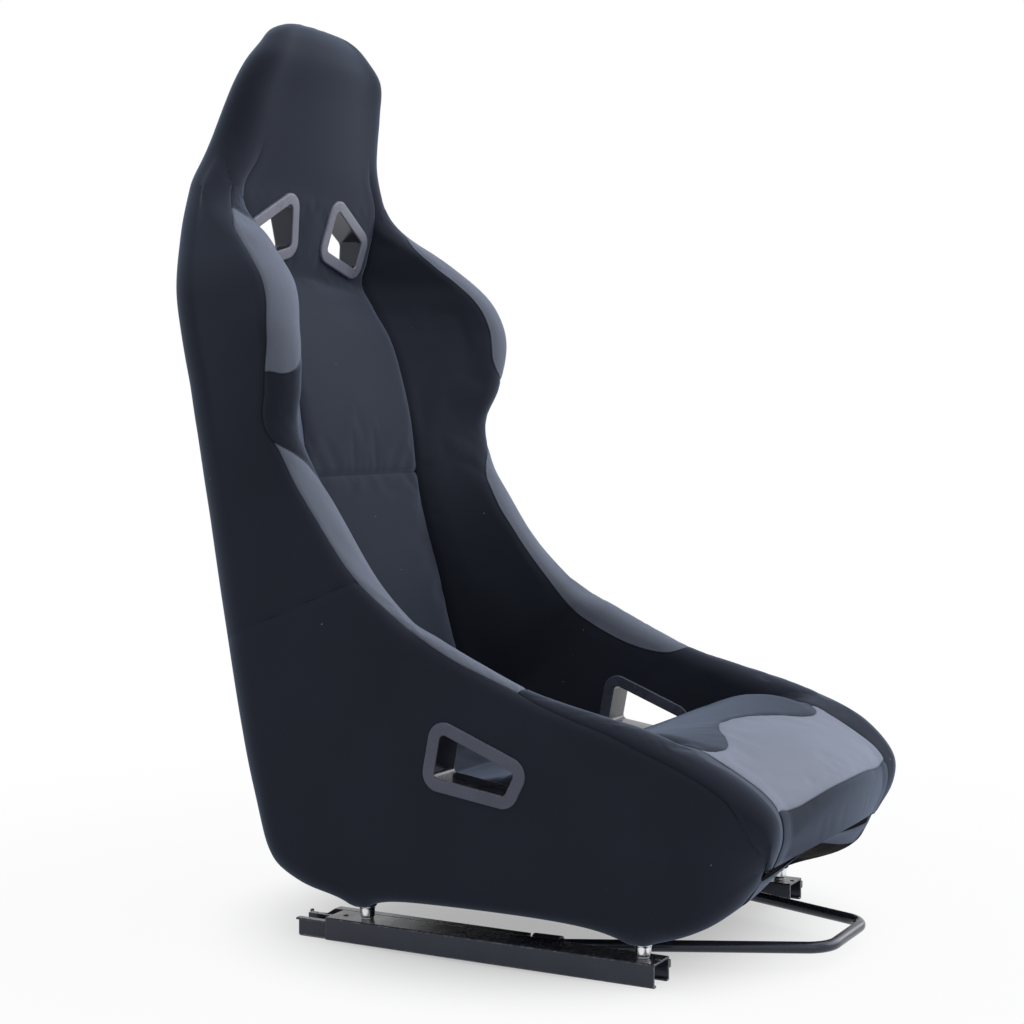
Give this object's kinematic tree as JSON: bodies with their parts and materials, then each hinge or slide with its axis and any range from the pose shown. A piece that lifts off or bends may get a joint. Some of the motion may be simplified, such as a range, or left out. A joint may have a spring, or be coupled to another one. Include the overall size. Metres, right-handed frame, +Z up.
{
  "type": "racing seat",
  "caption": "Fixed-back bucket seat with side wings, belt slots with bezels and grey textile patches, on slide rails with a front release handle.",
  "frame": {"origin": "on the floor, midway between the four floor bolt holes of the lower rails", "axes": "+Z up, the seat faces -Y, +X is the sitter's left-hand side"},
  "size_m": [0.4626, 0.6741, 0.93],
  "materials": {
    "shell": "moulded glass-fibre laminate, black gelcoat",
    "black_textile": "black short-pile textile over foam",
    "grey_textile": "grey woven textile over foam",
    "bezel_plastic": "satin black moulded plastic",
    "chrome": "bright chrome",
    "zinc_steel": "zinc plated steel",
    "black_steel": "satin black coated steel",
    "glide_plastic": "natural plastic"
  },
  "bodies": {
    "rails": {"lower_rail_left": "black_steel", "lower_rail_right": "black_steel"},
    "seat": {"seat_shell": "shell", "back_cover": "black_textile", "side_cover_left": "black_textile", "side_cover_right": "black_textile", "head_pad": "black_textile", "back_pad_upper": "black_textile", "back_pad_lower": "black_textile", "shoulder_bolster_left": "grey_textile", "shoulder_bolster_right": "grey_textile", "hip_bolster_left": "black_textile", "hip_bolster_right": "black_textile", "seat_cushion": "grey_textile", "shoulder_bezel_front_left": "bezel_plastic", "shoulder_bezel_front_right": "bezel_plastic", "shoulder_bezel_rear_left": "bezel_plastic", "shoulder_bezel_rear_right": "bezel_plastic", "lap_bezel_outer_left": "bezel_plastic", "lap_bezel_outer_right": "bezel_plastic", "lap_bezel_inner_left": "bezel_plastic", "lap_bezel_inner_right": "bezel_plastic", "seat_inserts": "zinc_steel", "seat_spacers": "chrome", "seat_washers": "chrome", "seat_bolts": "zinc_steel", "upper_rail_left": "black_steel", "upper_rail_right": "black_steel", "rail_glides": "glide_plastic", "latch_bracket_left": "black_steel", "latch_bracket_right": "black_steel", "pivot_pins": "zinc_steel", "latch_spring_left": "zinc_steel", "latch_spring_right": "zinc_steel"},
    "latch": {"handle_bar": "black_steel", "latch_lever_left": "zinc_steel", "latch_lever_right": "zinc_steel"},
    "cage_left": {"roller_cage_left": "zinc_steel"},
    "cage_right": {"roller_cage_right": "zinc_steel"},
    "roller_front_left": {"roller_front_left": "zinc_steel"},
    "roller_front_right": {"roller_front_right": "zinc_steel"},
    "roller_rear_left": {"roller_rear_left": "zinc_steel"},
    "roller_rear_right": {"roller_rear_right": "zinc_steel"}
  },
  "joints": [
    {"name": "seat_slide", "type": "slide", "parent": "rails", "child": "seat", "axis": [0, 1, 0], "range_m": [-0.05, 0.11]},
    {"name": "latch_lift", "type": "hinge", "parent": "seat", "child": "latch", "pos_m": [0, -0.058, 0.014], "axis": [-1, 0, 0], "range_deg": [-1.5, 3], "stiffness_Nm_per_rad": 6, "springref_deg": -5.73},
    {"name": "cage_left_slide", "type": "slide", "parent": "rails", "child": "cage_left", "axis": [0, 1, 0], "range_m": [-0.03, 0.06]},
    {"name": "roller_front_left_spin", "type": "hinge", "parent": "cage_left", "child": "roller_front_left", "pos_m": [-0.172, -0.105, 0.0121], "axis": [1, 0, 0], "range_deg": [-330, 160]},
    {"name": "roller_rear_left_spin", "type": "hinge", "parent": "cage_left", "child": "roller_rear_left", "pos_m": [-0.172, 0.045, 0.0121], "axis": [1, 0, 0], "range_deg": [-330, 160]},
    {"name": "cage_right_slide", "type": "slide", "parent": "rails", "child": "cage_right", "axis": [0, 1, 0], "range_m": [-0.03, 0.06]},
    {"name": "roller_front_right_spin", "type": "hinge", "parent": "cage_right", "child": "roller_front_right", "pos_m": [0.172, -0.105, 0.0121], "axis": [1, 0, 0], "range_deg": [-330, 160]},
    {"name": "roller_rear_right_spin", "type": "hinge", "parent": "cage_right", "child": "roller_rear_right", "pos_m": [0.172, 0.045, 0.0121], "axis": [1, 0, 0], "range_deg": [-330, 160]}
  ],
  "couplings": [
    {"joint": "cage_left_slide", "follows": "seat_slide", "ratio": 0.5},
    {"joint": "roller_front_left_spin", "follows": "seat_slide", "rad_per_m": -50},
    {"joint": "roller_rear_left_spin", "follows": "seat_slide", "rad_per_m": -50},
    {"joint": "cage_right_slide", "follows": "seat_slide", "ratio": 0.5},
    {"joint": "roller_front_right_spin", "follows": "seat_slide", "rad_per_m": -50},
    {"joint": "roller_rear_right_spin", "follows": "seat_slide", "rad_per_m": -50}
  ]
}
